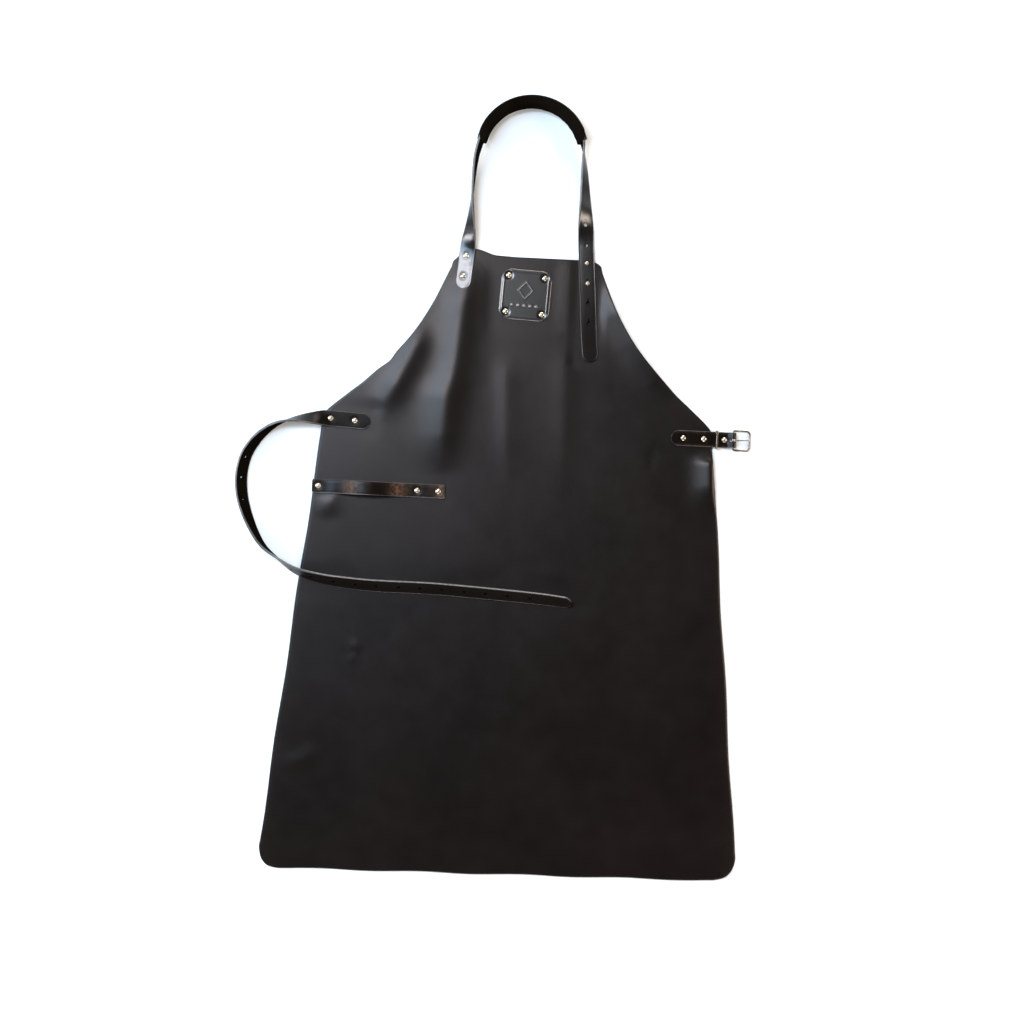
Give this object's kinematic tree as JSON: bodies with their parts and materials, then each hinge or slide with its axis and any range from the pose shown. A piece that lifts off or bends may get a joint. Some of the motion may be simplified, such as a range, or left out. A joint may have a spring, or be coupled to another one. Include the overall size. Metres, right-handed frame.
{
  "type": "butcher apron",
  "caption": "Leather bib apron laid flat, with an adjustable neck strap and shoulder pad, a towel strap, a long waist strap and a buckle tab.",
  "frame": {"origin": "centre of the panel's flat underside, midway between hem and bib top", "axes": "+X across the apron to the viewer's right as it lies face up, +Y from the hem to the bib and neck strap, +Z out of the grain face"},
  "size_m": [0.7159, 1.0688, 0.0355],
  "materials": {
    "apron_leather": "smooth dark brown-black leather with a soft gloss",
    "strap_leather": "glossy dark brown-black strap leather with grey cut edges",
    "badge_leather": "glossy embossed leather",
    "pad_leather": "soft matte black leather",
    "pad_lining": "soft matte black leather over foam",
    "rivet_brass": "pale antique brass",
    "buckle_steel": "polished nickel plate"
  },
  "bodies": {
    "apron": {"apron_panel": "apron_leather", "badge_patch": "badge_leather", "badge_rivet_backs": "rivet_brass", "badge_rivet_caps": "rivet_brass", "neck_rivet_backs": "rivet_brass", "neck_rivet_caps": "rivet_brass", "neck_strap_left_anchor": "strap_leather", "neck_strap_right_tail": "strap_leather", "neck_stud_balls": "rivet_brass", "neck_stud_screws": "rivet_brass", "tab_anchor": "strap_leather", "tab_rivet_backs": "rivet_brass", "tab_rivet_caps": "rivet_brass", "towel_rivet_backs": "rivet_brass", "towel_rivet_caps": "rivet_brass", "towel_strap": "strap_leather", "waist_rivet_backs": "rivet_brass", "waist_rivet_caps": "rivet_brass", "waist_strap_anchor": "strap_leather"},
    "neck_loop": {"neck_strap_loop": "strap_leather"},
    "neck_pad": {"neck_pad_outer": "pad_leather", "neck_pad_lining": "pad_lining"},
    "waist_strap": {"waist_strap_free": "strap_leather"},
    "buckle_tab": {"tab_fold": "strap_leather", "fold_rivet_cap": "rivet_brass", "fold_rivet_back": "rivet_brass"},
    "keeper": {"keeper_loop": "buckle_steel"},
    "buckle_frame": {"buckle_frame": "buckle_steel"},
    "buckle_prong": {"buckle_prong": "buckle_steel"}
  },
  "joints": [
    {"name": "neck_loop_fold", "type": "hinge", "parent": "apron", "child": "neck_loop", "pos_m": [0, 0.431, 0.0052], "axis": [1, 0, 0], "range_deg": [0, 100]},
    {"name": "neck_pad_slide_round", "type": "hinge", "parent": "neck_loop", "child": "neck_pad", "pos_m": [-0.001, 0.563, 0.017], "axis": [0, 0, 1], "range_deg": [-6, 6]},
    {"name": "waist_strap_lift", "type": "hinge", "parent": "apron", "child": "waist_strap", "pos_m": [-0.281, 0.2012, 0.0052], "axis": [-0.9061, 0.423, 0], "range_deg": [0, 100]},
    {"name": "buckle_tab_fold", "type": "hinge", "parent": "apron", "child": "buckle_tab", "pos_m": [0.27035, 0.186, 0.0052], "axis": [0, -1, 0], "range_deg": [0, 90]},
    {"name": "keeper_slide", "type": "slide", "parent": "buckle_tab", "child": "keeper", "axis": [1, 0, 0], "range_m": [0, 0.0045]},
    {"name": "buckle_frame_tilt", "type": "hinge", "parent": "buckle_tab", "child": "buckle_frame", "pos_m": [0.295, 0.186, 0.0042], "axis": [0, -1, 0], "range_deg": [0, 75]},
    {"name": "buckle_prong_tilt", "type": "hinge", "parent": "buckle_frame", "child": "buckle_prong", "pos_m": [0.295, 0.186, 0.0042], "axis": [0, -1, 0], "range_deg": [-41, 30]}
  ]
}
